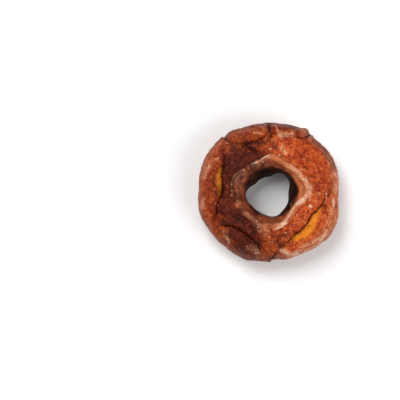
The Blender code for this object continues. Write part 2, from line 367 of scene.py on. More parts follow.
# Glaze that shows pale where it has pooled or run; two strokes are painted highlights.
# A stroke is its stations of (angle, radius in mm), its half width in mm, and its strength.
GLAZE_STROKES = (
    (((125.7, 22.5), (117.2, 21.7), (105.7, 21.8), (98.1, 22.9), (91.9, 23.7)), 0.27, 0.85),
    (((90.8, 28.4), (88.2, 29.2)), 0.34, 0.6),
    (((97.2, 27.3), (95.4, 27.8)), 0.32, 0.5),
    (((89.6, 23.7), (78.7, 23.8), (68.9, 22.5), (54.7, 21.2)), 1.4, 0.28),
    (((54.7, 21.2), (41.9, 21.9), (30.8, 23.3), (16.9, 25.0)), 1.7, 0.46),
    (((16.9, 25.0), (4.6, 26.6), (-3.0, 26.6), (-8.0, 25.0)), 1.6, 0.58),
    (((-9.5, 24.4), (-14.0, 23.1), (-20.4, 21.6), (-27.0, 20.4)), 1.05, 0.78),
    (((-22.0, 21.0), (-28.0, 20.1), (-34.7, 19.7), (-42.3, 19.7)), 0.5, 0.85),
    (((-42.3, 19.8), (-50.0, 20.4), (-58.5, 21.4), (-67.0, 22.8), (-76.5, 24.4)), 1.0, 0.55),
    (((-62.5, 23.4), (-72.5, 24.8), (-84.0, 25.4)), 0.5, 0.8),
    (((-137.5, 21.7), (-123.6, 21.6), (-110.3, 22.8), (-100.7, 24.5), (-93.3, 26.8)), 1.5, 0.30),
    (((-114.0, 23.6), (-104.0, 26.0), (-96.0, 29.0)), 2.0, 0.26),
    (((80.0, 38.8), (74.5, 40.0), (69.0, 41.6)), 1.3, 0.68),
    (((84.8, 44.0), (83.1, 42.1), (82.2, 39.9)), 0.6, 0.5),
    (((77.0, 30.5), (72.2, 29.1), (68.8, 28.3)), 1.4, 0.4),
    (((15.4, 44.8), (13.8, 42.7)), 0.5, 0.5),
    (((105.0, 41.6), (101.0, 40.4), (97.5, 40.2)), 0.6, 0.36),
    (((98.0, 44.6), (95.5, 42.8)), 0.5, 0.35),
    (((-4.8, 38.6), (-11.5, 39.6)), 0.7, 0.4),
    (((-7.8, 43.6), (-12.5, 44.6)), 0.8, 0.6),
    (((-15.8, 42.8), (-19.4, 44.0)), 0.6, 0.5),
    (((-59.9, 43.2), (-53.1, 44.0), (-46.3, 44.9), (-40.0, 45.8), (-35.0, 46.1)), 1.1, 0.42),
    (((-59.1, 46.1), (-50.8, 47.1), (-42.8, 47.8)), 0.8, 0.38),
    (((-80.4, 41.1), (-75.3, 43.0), (-70.5, 44.7), (-65.4, 45.6)), 1.2, 0.64),
    (((-109.2, 40.4), (-104.9, 41.3), (-100.6, 43.0)), 2.2, 0.34),
    # Painted highlights: a bright glint on the crust, and next a glint on the hole's wall
    (((-19.9, 28.4), (-20.1, 29.5)), 0.6, 0.9),
    (((-24.0, 16.4), (-33.0, 16.8)), 0.3, 0.3),
    (((-42.5, 46.9), (-38.0, 47.1)), 1.0, 0.7),
    (((-66.0, 43.8), (-60.5, 44.6)), 0.7, 0.6),
    (((5.5, 45.4), (-1.0, 44.9)), 0.6, 0.45),
    (((18.5, 44.6), (12.5, 45.8)), 0.35, 0.7),
    (((-24.5, 42.6), (-28.5, 43.4)), 0.5, 0.55),
    (((141.0, 23.4), (158.0, 26.2), (175.0, 25.8), (192.0, 24.0), (206.0, 23.6)), 0.5, 0.34),
    (((148.0, 42.6), (157.0, 43.8), (168.0, 44.6)), 1.1, 0.4),
    (((186.0, 44.2), (194.0, 45.6)), 0.9, 0.36),
    (((222.0, 42.0), (231.0, 43.4)), 1.3, 0.4),
)
STROKE_VARIES = (0.9, 0.7, 0.4)
STROKE_SWELL_VARIES = (1.0, 0.5)
STROKE_RAGGED = 0.4
STROKE_SOFTNESS = 1.25
GLAZE_BREAK_SIZE = 1.4 * MM
GLAZE_PATCH_SIZE = 4.0 * MM
GLAZE_RISE = 0.22 * MM
LIP_GLAZE_VARIES = (0.07, 0.22)
LIP_GLAZE_WIDTH = 1.3 * LIP_WIDTH

# Streaks of glaze round the outer side
STREAK_LENGTH = 9.0 * MM
STREAK_WIDTH = 1.6 * MM
STREAK_SPAN = (0.12, 0.60)
STREAK_VARIES = (0.6, 0.6)
STREAK_RADII = (OUTLINE_RADIUS - 5.5 * MM, OUTLINE_RADIUS - 2.0 * MM)
STREAK_STRENGTH = 0.18
STREAK_LOBES = ((-12, 38, 0.55),)

# The hole's wall, darker fried crust under painted shade, starts inside this radius
WALL_RADIUS = 16.9 * MM
WALL_LOBES = ((0, 24, 2.5 * MM), (-62, 24, 1.7 * MM), (45, 14, 0.8 * MM))
WALL_FADE = 1.9 * MM
WALL_STRAY = (0.0, 0.6, 0.4)

# Painted shade on the skin between the wall and the crease, darker towards the hole: (angle,
# spread, strength, reach out from the wall)
COLLAR_SHADE = (
    (122, 34, 1.0, 4.6 * MM),
    (186, 30, 0.85, 9.0 * MM),
    (-136, 28, 0.95, 11.0 * MM),
    (-90, 26, 0.75, 7.5 * MM),
    (-60, 18, 0.55, 4.0 * MM),
)
COLLAR_SHADE_FADE = 0.6
COLLAR_SHADE_VARIES = (1.0, 0.5, 0.4)

# Places that are partly browner crust and partly painted shade: a painted shadow over the upper and
# lower left of the body, and shade on the top petals, near the hole and along cracks: (angle,
# spread, radius, its spread, strength)
BROWNED_AND_SHADED = (
    (127, 20, 28.0 * MM, 12.0 * MM, 1.6),
    (-126, 18, 30.5 * MM, 11.0 * MM, 1.6),
    (168, 26, 30.0 * MM, 12.0 * MM, 0.65),
    (-162, 26, 30.0 * MM, 12.0 * MM, 0.65),
    (73, 12, 45.0 * MM, 3.5 * MM, 0.75),
    (106, 13, 44.0 * MM, 3.5 * MM, 0.35),
    (-84, 14, 31.5 * MM, 6.0 * MM, 0.45),
    (-104, 7, 43.0 * MM, 5.0 * MM, 0.75),
    (-79, 4, 36.8 * MM, 2.2 * MM, 0.7),
    (-88, 3, 45.0 * MM, 3.0 * MM, 0.8),
    (90, 2, 41.5 * MM, 4.0 * MM, 0.9),
    (85, 20, 19.0 * MM, 2.5 * MM, 0.35),
    (-90, 26, 18.5 * MM, 2.5 * MM, 0.35),
    (3, 15, 34.0 * MM, 7.0 * MM, 0.24),
    (-62, 18, 31.0 * MM, 6.0 * MM, 0.12),
    (-117, 9, 42.0 * MM, 6.0 * MM, 0.6),
    (-64, 7, 32.4 * MM, 2.0 * MM, 0.45),
    (82, 3, 29.8 * MM, 2.4 * MM, 0.5),
    (96, 6, 34.0 * MM, 2.6 * MM, 0.5),
)
BROWNED_AND_SHADED_VARIES = (0.95, 0.4, 0.5)
# Painted light: paler, more orange places on the lit right side of the rim, given as the browner
# ones are
PAINTED_RIM_LIGHT = ((2, 19, 45.0 * MM, 3.4 * MM, 0.75), (-30, 16, 45.5 * MM, 2.8 * MM, 0.6))
PAINTED_RIM_LIGHT_VARIES = (0.8, 0.5, 0.7)
# Painted shade on the rim where it turns away from the light: (angle, spread, strength)
RIM_SHADE = ((78, 30, 1.0), (128, 26, 0.55), (-112, 30, 0.45), (180, 30, 0.3))
RIM_IN = 1.6 * MM
# How the painted shade on the steep side below the crust's edge fades down the side, and how the
# seam's breaks up
LEDGE_STRAY = (0.0, 0.4, 0.5)
LEDGE_FADE_SPAN = (-0.15, 0.55)
SEAM_BREAK_STRAY = (0.0, 1.0, 0.5, 0.8)
SEAM_BREAK_SPAN = (-0.55, 0.35)

# Loose sugar flakes, whose pale colour also paints glints, and crumbs
FLAKE_COUNT = 340
FLAKE_SIZES = (0.10 * MM, 0.30 * MM)
FLAKE_GROWTHS = (1.0, 1.0, 1.0, 1.9)
FLAKE_REACHES = (0.6, 1.1)
FLAKE_STRETCHES = (1.0, 1.6)
FLAKE_SIDES = 6
# Each flake's foot and roof: (height, share of its outline), as shares of its size
FLAKE_LEVELS = ((-0.25, 1.0), (0.35, 0.8))
FLAKE_LEAN = 0.35
FLAKE_SPRINKLE = 0.04
FLAKE_SEED = 5
CRUMB_COUNT = 110
CRUMB_SIZES = (0.20 * MM, 0.48 * MM)
CRUMB_STRETCHES = (0.7, 1.2)
CRUMB_LUMPINESS = 0.45
CRUMB_LUMP_SIZE = 0.9
CRUMB_LIFT = 0.25
CRUMB_LEAST_BARE = 0.3
CRUMB_SEED = 8
LEAST_WEIGHT = 1e-9

# Noise of the materials: (size, detail, roughness)
GRAIN_TEXTURE = (1.0 * MM, 4.0, 0.7)
BLOTCH_TEXTURE = (3.6 * MM, 3.0, 0.6)
MOTTLE_TEXTURE = (5.0 * MM, 3.0, 0.55)
PATCH_TEXTURE = (15.0 * MM, 2.0, 0.55)
OUTER_TEXTURE = (3.0 * MM, 4.0, 0.6)
GOLDEN_TEXTURE = (1.8 * MM, 3.0, 0.55)
CREAM_TEXTURE = (2.0 * MM, 3.0, 0.55)
DENT_TEXTURE = (2.4 * MM, 2.0, 0.55)
FLAKE_TEXTURE = (3.0 * MM, 2.0, 0.55)
FLAKE_DENT_TEXTURE = (0.5 * MM, 2.0, 0.55)
CRUMB_TEXTURE = (1.6 * MM, 3.0, 0.55)
CRUMB_DENT_TEXTURE = (0.5 * MM, 3.0, 0.55)
SPECK_SIZE = 1.0 * MM
# The grit is grain, blotches, hollows and patches, the hollows darkened as painted shade; the
# skin's tone is mottle and grain
GRIT_SHARES = (0.65, 0.50, -0.20, 0.15)
SKIN_TONE_SHARES = (0.6, 0.4)

# Colours along a texture: (place, linear colour)
TORN_TONES = (
    (0.38, (0.170, 0.012, 0.003)),
    (0.47, (0.310, 0.032, 0.006)),
    (0.55, (0.440, 0.068, 0.012)),
    (0.63, (0.560, 0.115, 0.022)),
    (0.74, (0.720, 0.210, 0.055)),
)
SKIN_TONES = (
    (0.36, (0.300, 0.058, 0.018)),
    (0.50, (0.420, 0.105, 0.036)),
    (0.64, (0.540, 0.170, 0.068)),
)
OUTER_TONES = (
    (0.34, (0.250, 0.055, 0.026)),
    (0.50, (0.380, 0.108, 0.054)),
    (0.66, (0.500, 0.175, 0.092)),
)
GOLDEN_TONES = (
    (0.30, (0.570, 0.135, 0.006)),
    (0.50, (0.690, 0.212, 0.012)),
    (0.70, (0.800, 0.310, 0.026)),
)
LOOSE_CRUMB_TONES = (
    (0.34, (0.620, 0.155, 0.008)),
    (0.50, (0.740, 0.230, 0.012)),
    (0.66, (0.850, 0.330, 0.024)),
)
# Painted shade on the steep side below the crust's edge
LEDGE_SHADE_TONES = ((0.38, (0.060, 0.009, 0.005)), (0.62, (0.250, 0.056, 0.030)))
# Browner crust and painted shade
BROWNED_AND_SHADED_TONES = ((0.44, (0.020, 0.002, 0.001)), (0.66, (0.100, 0.012, 0.004)))
UNDER_TONES = ((0.40, (0.210, 0.046, 0.014)), (0.66, (0.520, 0.200, 0.075)))
# Painted shade on the collar towards the hole
COLLAR_SHADE_TONES = ((0.40, (0.045, 0.009, 0.004)), (0.62, (0.150, 0.034, 0.018)))
# Darker fried crust with painted shade on the hole's wall
WALL_CRUST_AND_SHADE_TONES = ((0.42, (0.008, 0.002, 0.001)), (0.66, (0.040, 0.009, 0.004)))
CREAM_TONES = ((0.35, (0.600, 0.335, 0.205)), (0.62, (0.810, 0.600, 0.440)))
# Dried glaze, its pale colour also painted highlights
FLAKE_AND_GLINT_TONES = ((0.35, (0.660, 0.330, 0.190)), (0.65, (0.900, 0.680, 0.520)))
# Painted light on the rim
PAINTED_RIM_LIGHT_TONE = (0.480, 0.145, 0.052)
# Painted shade on the rim
RIM_SHADE_TONE = (0.092, 0.019, 0.009)
FRECKLE_TONE = (0.150, 0.030, 0.012)
SEAM_TONE = (0.560, 0.230, 0.075)
# Painted shade in the pits underneath
BASE_PIT_SHADE_TONE = (0.130, 0.026, 0.009)
# Painted shade deep in the cracks and in the crust's pits
SLOT_SHADE_TONE = (0.050, 0.006, 0.002)
MILKY_TONE = (0.620, 0.250, 0.115)

# How much of the colours before it a mark's own colour covers
MARK_COVERS = {
    "ledge": 0.80,
    "painted_rim_light": 0.80,
    "browned_and_shaded": 0.95,
    "rim": 0.85,
    "under": 0.65,
    "base_pit_shade": 0.50,
    "collar": 0.85,
    "slot_and_shade": 0.85,
}
# Spreads of a value: its low and high, and what it is turned into there
FRECKLE_SPREAD = (0.30, 0.42, 0.45, 0.0)
SEAM_SPREAD = (0.40, 0.62, 0.12, 0.62)
CRUMB_SPREAD = (0.06, 0.60, 0.0, 1.0)
FILM_SPREAD = (0.36, 0.64, 0.5, 1.3)
MILKY_SPREAD = (0.03, 0.38, 0.0, 1.0)
MILKY_ON_DARK_SPREAD = (0.0, 1.0, 0.6, 0.28)
CREAM_SPREAD = (0.25, 0.95, 0.0, 0.95)
TORN_ROUGHNESS_SPREAD = (0.0, 1.0, 0.30, 0.46)
MOTTLE_ROUGHNESS_SPREAD = (0.3, 0.7, -0.06, 0.08)
# What a mark adds to the roughness
MARK_ROUGHENS = {"crumb": 0.25, "wall_crust_and_shade": 0.35, "collar": 0.15, "ledge": 0.25, "glaze": -0.12}
# Bumps: (distance, strength)
GRIT_BUMP = (0.35 * MM, 0.8)
DENT_BUMP = (0.22 * MM, 0.5)
FLAKE_BUMP = (0.08 * MM, 0.6)
CRUMB_BUMP = (0.15 * MM, 0.8)
GLAZE_COAT = 0.5
CRUST_SURFACE = {
    "Specular IOR Level": 0.09,
    "Coat Roughness": 0.2,
    "Subsurface Weight": 0.08,
    "Subsurface Radius": (1.0, 0.35, 0.12),
    "Subsurface Scale": 1.2 * MM,
}
FLAKE_SURFACE = {
    "Roughness": 0.25,
    "Subsurface Weight": 0.2,
    "Subsurface Radius": (1.0, 0.6, 0.4),
    "Subsurface Scale": 0.6 * MM,
}
CRUMB_ROUGHNESS = 0.6
FLOOR_ROUGHNESS = 0.9

# Camera, floor and light
CAMERA_X = -46.45 * MM
CAMERA_Y = -5.2 * MM
CAMERA_HEIGHT = 1.4
FRAME_WIDTH = 272.0 * MM
SENSOR = 36.0
FLOOR_SIZE = 3.0
FLOOR_COLOUR = (0.86, 0.86, 0.86, 1.0)
WORLD_COLOUR = (1.0, 1.0, 1.0, 1.0)
WORLD_STRENGTH = 0.34
KEY_PLACE = (-0.47, 0.62, 1.16)
KEY_SIZE = 0.8
KEY_POWER = 16.3
FILL_PLACE = (0.70, -0.35, 0.70)
FILL_SIZE = 0.8
FILL_POWER = 6.5


def ramp(value, low, high):
    """0 below low and 1 above high, with a smooth turn between."""
    share = np.clip((value - low) / (high - low), 0.0, 1.0)
    return share * share * (3.0 - 2.0 * share)


def hump(away, width):
    """1 at the line and falling away over the width on both sides."""
    return np.exp(-((away / width) ** 2))


def bell(angle, centre, spread):
    """1 at the centre and falling away over the spread, round the circle, in degrees."""
    away = (np.degrees(angle) - centre + 180.0) % 360.0 - 180.0
    return hump(away, spread * math.sqrt(2.0))


def lobed(angle, mean, lobes):
    """A size that swells by each lobe's rise round its angle."""
    return mean + sum(rise * bell(angle, centre, spread) for centre, spread, rise in lobes)


def varied(shares, *noises):
    """A mean, and each noise added by its own share."""
    mean, *own = shares
    return mean + sum(share * values for share, values in zip(own, noises))


def lumps(points, size, seed):
    """Smooth noise from -1 to 1 at each point, with lumps about as large as size."""
    shift = LUMPS_SHIFT * seed
    return np.array([noise.noise(Vector(point) / size + shift) for point in points])


def crags(points, size, seed):
    """Torn crust: from -0.5 between the crags to 0.5 on top of them."""
    shift = CRAGS_SHIFT * seed
    found = np.empty(len(points))
    for index, point in enumerate(points):
        nearest, _ = noise.voronoi(Vector(point) / size + shift)
        found[index] = nearest[1] - nearest[0]
    return np.clip(CRAGS_STEEPNESS * found, 0.0, 1.0) - 0.5


def layered(kind, points, layers, seed):
    """The sum of layers of (size, height) of one kind of noise."""
    return sum(
        height * kind(points, size, number)
        for number, (size, height) in enumerate(layers, start=seed)
    )


def plain_ring(theta, phi):
    """The ring before its relief: points, outward normals, and each point's radius in plan."""
    outer = lobed(theta, OUTLINE_RADIUS, OUTLINE_LOBES)
    middle = (outer + HOLE_RADIUS) / 2
    half_width = (outer - HOLE_RADIUS) / 2
    over = ramp(np.sin(phi), *OVER_SPAN)
    crown = lobed(theta, THICKNESS - WAIST_HEIGHT, CROWN_LOBES)
    half_height = over * crown + (1 - over) * (WAIST_HEIGHT + FOOT_SINK)
    across, up = np.cos(phi), np.sin(phi)
    top_fullness = TOP_FULLNESS + (HOLE_FULLNESS - TOP_FULLNESS) * ramp(-across, *HOLE_SPAN)
    fullness = over * top_fullness + (1 - over) * FOOT_FULLNESS
    size = (np.abs(across) ** fullness + np.abs(up) ** fullness) ** (-1 / fullness)
    radius = middle + half_width * size * across
    height = WAIST_HEIGHT + half_height * size * up
    lean, rise = across * half_height, up * half_width
    length = np.hypot(lean, rise)
    lean, rise = lean / length, rise / length
    points = np.column_stack((radius * np.cos(theta), radius * np.sin(theta), height))
    normals = np.column_stack((lean * np.cos(theta), lean * np.sin(theta), rise))
    return points, normals, radius


def torn_crust(theta, phi, radius):
    """1 on the torn crust between the crease and the outer side, and 0 on smooth skin."""
    out = radius - lobed(theta, CREASE_RADIUS, CREASE_LOBES)
    inside = lobed(theta, TORN_RADIUS, TORN_LOBES) - radius
    torn = ramp(out, CREASE_WIDTH / 2, 2 * CREASE_WIDTH) * ramp(inside, -TORN_FADE, TORN_FADE)
    return torn * ramp(np.sin(phi), *TORN_SPAN)


class Skin:
    """The plain ring's points, with the noise and the places that its relief and marks share."""

    def __init__(self, theta, phi):
        self.theta = theta
        self.across, self.up = np.cos(phi), np.sin(phi)
        self.points, self.normals, self.radius = plain_ring(theta, phi)
        self.fine, self.finer, self.broad = (
            lumps(self.points, size, seed)
            for seed, size in enumerate(STRAY_SIZES, start=SEEDS["stray"])
        )
        self.ragged = layered(lumps, self.points, RAGGED_SIZES, SEEDS["ragged"])
        self.top = ramp(self.up, *TOP_SPAN)
        self.torn = torn_crust(theta, phi, self.radius)
        self.outer_side = ramp(self.across, *OUTER_SPAN)
        self.inner_side = ramp(-self.across, *INNER_SPAN)
        self.bulges = sum(
            rise * bell(theta, angle, spread) * bell(phi, level, level_spread)
            for angle, spread, level, level_spread, rise in HOLE_BULGES
        )


def plan_curve(stations):
    """Points of the plan along a smooth curve through stations of (angle, radius in mm)."""
    angle, radius = np.array(stations).T
    angle, radius = np.radians(angle), radius * MM
    knots = np.column_stack((radius * np.cos(angle), radius * np.sin(angle)))
    before, after = 2 * knots[0] - knots[1], 2 * knots[-1] - knots[-2]
    knots = np.vstack((before, knots, after))
    line = []
    for a, b, c, d in zip(knots, knots[1:], knots[2:], knots[3:]):
        for t in np.linspace(0, 1, CRACK_STEPS, endpoint=False):
            bend = (2 * a - 5 * b + 4 * c - d) * t ** 2 + (3 * b - a - 3 * c + d) * t ** 3
            line.append(b + ((c - a) * t + bend) / 2)
    return line + [knots[-2]]


def from_line(plan, line):
    """Each point's distance from a line, positive left of it, and its share of the way along."""
    total = sum(math.dist(a, b) for a, b in zip(line, line[1:]))
    nearest = np.full(len(plan), np.inf)
    side = np.ones(len(plan))
    along = np.zeros(len(plan))
    done = 0.0
    for a, b in zip(line, line[1:]):
        length = math.dist(a, b)
        way = (b - a) / length
        from_a = plan - a
        run = np.clip(from_a @ way, 0.0, length)
        away = np.linalg.norm(from_a - run[:, None] * way, axis=1)
        closer = away < nearest
        nearest[closer] = away[closer]
        side[closer] = np.sign(way[0] * from_a[closer, 1] - way[1] * from_a[closer, 0])
        along[closer] = (done + run[closer]) / total
        done += length
    return nearest * side, along


def bare_crumb(crack, away, along):
    """How much crumb shows on the petal's side of a crack."""
    start, end = crack["crumb_span"]
    middle = np.sin(math.pi * np.clip((along - start) / (end - start), 0.0, 1.0)) ** CRUMB_TAPER
    size = crack["outer_width"] / CRACKS["golden"]["outer_width"]
    share = size * (CRUMB_END_SHARE + (1.0 - CRUMB_END_SHARE) * middle)
    shown = middle * hump(away - CRUMB_OUT * share, CRUMB_WIDTH * share) * (away > 0)
    return crack["crumb"] * shown


def crack_marks(crack, skin, stray):
    """The relief of one crack and its petal, the painted shade deep in it, and how much crumb
    shows.
    """
    left, along = from_line(skin.points[:, :2], plan_curve(crack["stations"]))
    clockwise = crack["stations"][-1][0] < crack["stations"][0][0]
    away = (left if clockwise else -left) + stray + crack["sway"] * skin.broad
    fade = ramp(along, 0.0, CRACK_FADE) * ramp(1.0 - along, 0.0, CRACK_FADE / 2)
    reach = crack["outer_width"]
    width = np.where(away < 0, crack["inner_width"], reach)
    depth = crack["depth"] * varied(CRACK_VARIES, skin.broad)
    petal = hump(away - PETAL_OUT * reach, PETAL_SPREAD * reach)
    lip = LIP_SHARE * hump(away + LIP_BACK, LIP_SPREAD)
    slot_and_shade = fade * hump(away - SLOT_OUT, SLOT_WIDTH)
    relief = fade * (crack["petal_rise"] * (petal + lip) - depth * hump(away, width))
    relief -= SLOT_DEPTH * slot_and_shade * min(1.0, crack["depth"] / CRACKS["golden"]["depth"])
    return relief, slot_and_shade, bare_crumb(crack, away, along)


def crack_relief(skin):
    """The relief of all the cracks, the darkest painted shade in them and the barest crumb at each
    point.
    """
    stray = CRACK_WANDER * varied(CRACK_STRAY, skin.fine, skin.finer) + skin.ragged
    relief, slot_and_shade, crumb = np.zeros((3, len(skin.points)))
    for crack in (*CRACKS.values(), *NICKS):
        own_relief, own_slot_and_shade, own_crumb = crack_marks(crack, skin, stray)
        relief += own_relief
        slot_and_shade = np.maximum(slot_and_shade, own_slot_and_shade)
        crumb = np.maximum(crumb, own_crumb)
    return skin.top * relief, skin.top * slot_and_shade, skin.top * crumb


def collar_relief(skin):
    """The collar with its lip, the crease and the shoulder, and the way out from the crease."""
    crease_radius = lobed(skin.theta, CREASE_RADIUS, CREASE_LOBES)
    out = skin.radius - crease_radius + CREASE_WANDER * (skin.fine + skin.broad)
    full = LIP_LEAST + (1 - LIP_LEAST) * bell(skin.theta, LIP_ANGLE, LIP_SPREAD_ANGLE)
    lip = LIP_RISE * full * varied(LIP_VARIES, skin.broad) * hump(out + LIP_WIDTH, LIP_WIDTH)
    opening = CREASE_DEPTH * varied(CREASE_VARIES, skin.fine, skin.broad)
    crease = opening * hump(out - CREASE_SKEW * CREASE_WIDTH, CREASE_WIDTH)
    dip = COLLAR_DIP * hump(out + 2 * COLLAR_WIDTH, COLLAR_WIDTH)
    shoulder = SHOULDER_RISE * hump(out - SHOULDER_OUT, SHOULDER_WIDTH)
    return lip + shoulder - crease - dip, out


def ledge_drop(skin):
    """How much of its full drop the outer side has below the edge of the crust, from 0 to 1."""
    low, high = LEDGE_ANGLES
    degrees = np.degrees(skin.theta)
    span = ramp(degrees, low, low + LEDGE_ENDS) * ramp(high - degrees, 0, LEDGE_ENDS)
    edge = skin.radius + LEDGE_WANDER * skin.fine + skin.ragged
    return span * ramp(edge, LEDGE_RADIUS, LEDGE_RADIUS + LEDGE_WIDTH)


def seam_relief(skin):
    """The seam round the outer side, with the crust standing out over it, and how near it is."""
    above = skin.points[:, 2] - SEAM_HEIGHT + SEAM_WANDER * skin.broad
    line = hump(above, SEAM_WIDTH)
    seam = SEAM_DEPTH * varied(SEAM_VARIES, skin.fine) * line
    return OVERHANG * hump(above - 3 * SEAM_WIDTH, 2 * SEAM_WIDTH) - seam, line


def under_relief(skin):
    """The ring groove near the hole, and the broken crack nearer the rim, under the doughnut."""
    stray = UNDER_WANDER * skin.broad
    ring = UNDER_RING_DEPTH * hump(skin.radius - UNDER_RING_RADIUS + stray, UNDER_RING_WIDTH)
    turned = np.sin(UNDER_CRACK_COUNT * skin.theta + UNDER_CRACK_TURN)
    open_here = ramp(turned + UNDER_CRACK_BREAKS * skin.broad, *UNDER_CRACK_SPAN)
    crack = UNDER_CRACK_DEPTH * hump(skin.radius - UNDER_CRACK_RADIUS - stray, UNDER_CRACK_WIDTH)
    return -ring - open_here * crack


def side_streaks(skin, patchy):
    """Streaks of glaze that run round the outer side."""
    around = skin.theta * OUTLINE_RADIUS / STREAK_LENGTH
    places = (around, skin.points[:, 2] / STREAK_WIDTH, skin.radius / STREAK_WIDTH)
    streaks = ramp(lumps(np.column_stack(places), 1.0, SEEDS["streaks"]), *STREAK_SPAN)
    streaks = streaks * varied(STREAK_VARIES, patchy)
    rim = ramp(skin.radius, *STREAK_RADII) * ramp(skin.up, *RIM_GLAZE_SPAN)
    return rim * streaks * lobed(skin.theta, STREAK_STRENGTH, STREAK_LOBES)


def pale_glaze(skin, out):
    """How thick the glaze is at each point, from 0 to 1."""
    broken = lumps(skin.points, GLAZE_BREAK_SIZE, SEEDS["glaze_breaks"])
    patchy = lumps(skin.points, GLAZE_PATCH_SIZE, SEEDS["glaze_patches"])
    glaze = hump(out + LIP_WIDTH, LIP_GLAZE_WIDTH) * varied(LIP_GLAZE_VARIES, patchy)
    thickness = varied(STROKE_VARIES, broken, patchy)
    for stations, width, strength in GLAZE_STROKES:
        away, _ = from_line(skin.points[:, :2], plan_curve(stations))
        reach = width * MM * varied(STROKE_SWELL_VARIES, patchy)
        edge = np.abs(away) + STROKE_RAGGED * width * MM * broken
        glaze = np.maximum(glaze, strength * hump(edge, STROKE_SOFTNESS * reach) * thickness)
    return np.clip(np.maximum(skin.top * glaze, side_streaks(skin, patchy)), 0.0, 1.0)


def crust_relief(skin, ledge_share, crumb, glaze):
    """The grit, grain and pits of the torn crust, and how far down in its hollows and how pitted it
    is; both paint shade into the colour.
    """
    edging = ledge_share * ramp(skin.up, *EDGING_SPAN)
    rough = np.maximum(skin.torn, EDGING_ROUGH * edging) * (1.0 - GLAZE_SMOOTHS * glaze)
    rough = rough * (1.0 - CRUMB_SMOOTHS * np.clip(CRUMB_SMOOTH_GAIN * crumb, 0.0, 1.0))
    grit = layered(crags, skin.points, CRUMB_LAYERS, SEEDS["grit"])
    grain = GRAIN_HEIGHT * lumps(skin.points, GRAIN_SIZE, SEEDS["grain"])
    pits = ramp(lumps(skin.points, PIT_SIZE, SEEDS["pits"]), *PIT_SPAN)
    hollow_shade = np.clip(-grit / sum(height for _, height in CRUMB_LAYERS), -1.0, 1.0)
    return rough * (grit + grain - PIT_DEPTH * pits), 0.5 + 0.5 * hollow_shade * rough, rough * pits


def side_relief(skin):
    """The pores and wrinkles of the smooth outer side."""
    smooth = (1.0 - skin.torn) * ramp(skin.across, *SIDE_SPAN)
    pores = ramp(lumps(skin.points, SIDE_PORE_SIZE, SEEDS["pores"]), *SIDE_PORE_SPAN)
    wrinkles = crags(skin.points, SIDE_WRINKLE_SIZE, SEEDS["wrinkles"])
    return smooth * (SIDE_WRINKLE_HEIGHT * wrinkles - SIDE_PORE_DEPTH * pores)


def hole_marks(skin, placed):
    """The hole's inner side, darker fried crust under painted shade, and the painted shade on the
    skin between it and the crease.
    """
    edge = lobed(skin.theta, WALL_RADIUS, WALL_LOBES)
    edge = edge + WALL_FADE * varied(WALL_STRAY, skin.fine, skin.broad)
    inward = edge - np.hypot(placed[:, 0], placed[:, 1])
    wall_crust_and_shade = skin.inner_side * ramp(inward, -WALL_FADE / 2, WALL_FADE)
    # painted shade on the collar, darker near the hole
    collar = np.zeros(len(placed))
    for angle, spread, share, reach in COLLAR_SHADE:
        near_wall = ramp(inward + reach, 0.0, COLLAR_SHADE_FADE * reach)
        collar = np.maximum(collar, share * bell(skin.theta, angle, spread) * near_wall)
    collar = np.clip(collar * varied(COLLAR_SHADE_VARIES, skin.fine, skin.finer), 0.0, 1.0)
    return {"wall_crust_and_shade": wall_crust_and_shade, "collar": collar * (1.0 - skin.torn) * skin.inner_side}


def rim_shade_mark(skin):
    """Painted shade on the rim where it turns away from the light."""
    edge = lobed(skin.theta, OUTLINE_RADIUS, OUTLINE_LOBES) - RIM_IN
    rim = lobed(skin.theta, 0.0, RIM_SHADE) * ramp(skin.radius, edge - RIM_IN / 2, edge + RIM_IN)
    return np.clip(rim, 0.0, 1.0)


def spots(skin, places, varies):
    """A mark on the top from places of (angle, spread, radius, its spread, strength)."""
    found = sum(
        share * bell(skin.theta, angle, spread) * hump(skin.radius - reach, width)
        for angle, spread, reach, width, share in places
    )
    return np.clip(found * varied(varies, skin.fine, skin.finer), 0.0, 1.0) * skin.top


def place_marks(skin, ledge_share, seam_line):
    """The browner places with their painted shade, the painted light and painted shade on the rim,
    the painted shade below the crust's edge, the seam, and the sides.
    """
    ledge_fade = ramp(skin.up + varied(LEDGE_STRAY, skin.fine, skin.broad), *LEDGE_FADE_SPAN)
    breaks = varied(SEAM_BREAK_STRAY, skin.fine, skin.finer, skin.broad)
    return {
        "browned_and_shaded": spots(skin, BROWNED_AND_SHADED, BROWNED_AND_SHADED_VARIES),
        "painted_rim_light": spots(skin, PAINTED_RIM_LIGHT, PAINTED_RIM_LIGHT_VARIES),
        "rim": rim_shade_mark(skin),
        "ledge": ledge_share * ledge_fade,
        "pale": skin.outer_side * seam_line * ramp(breaks, *SEAM_BREAK_SPAN),
        "under": ramp(-skin.up, *BELOW_SPAN),
        "outer": ramp(skin.across, *SIDE_SPAN),
    }


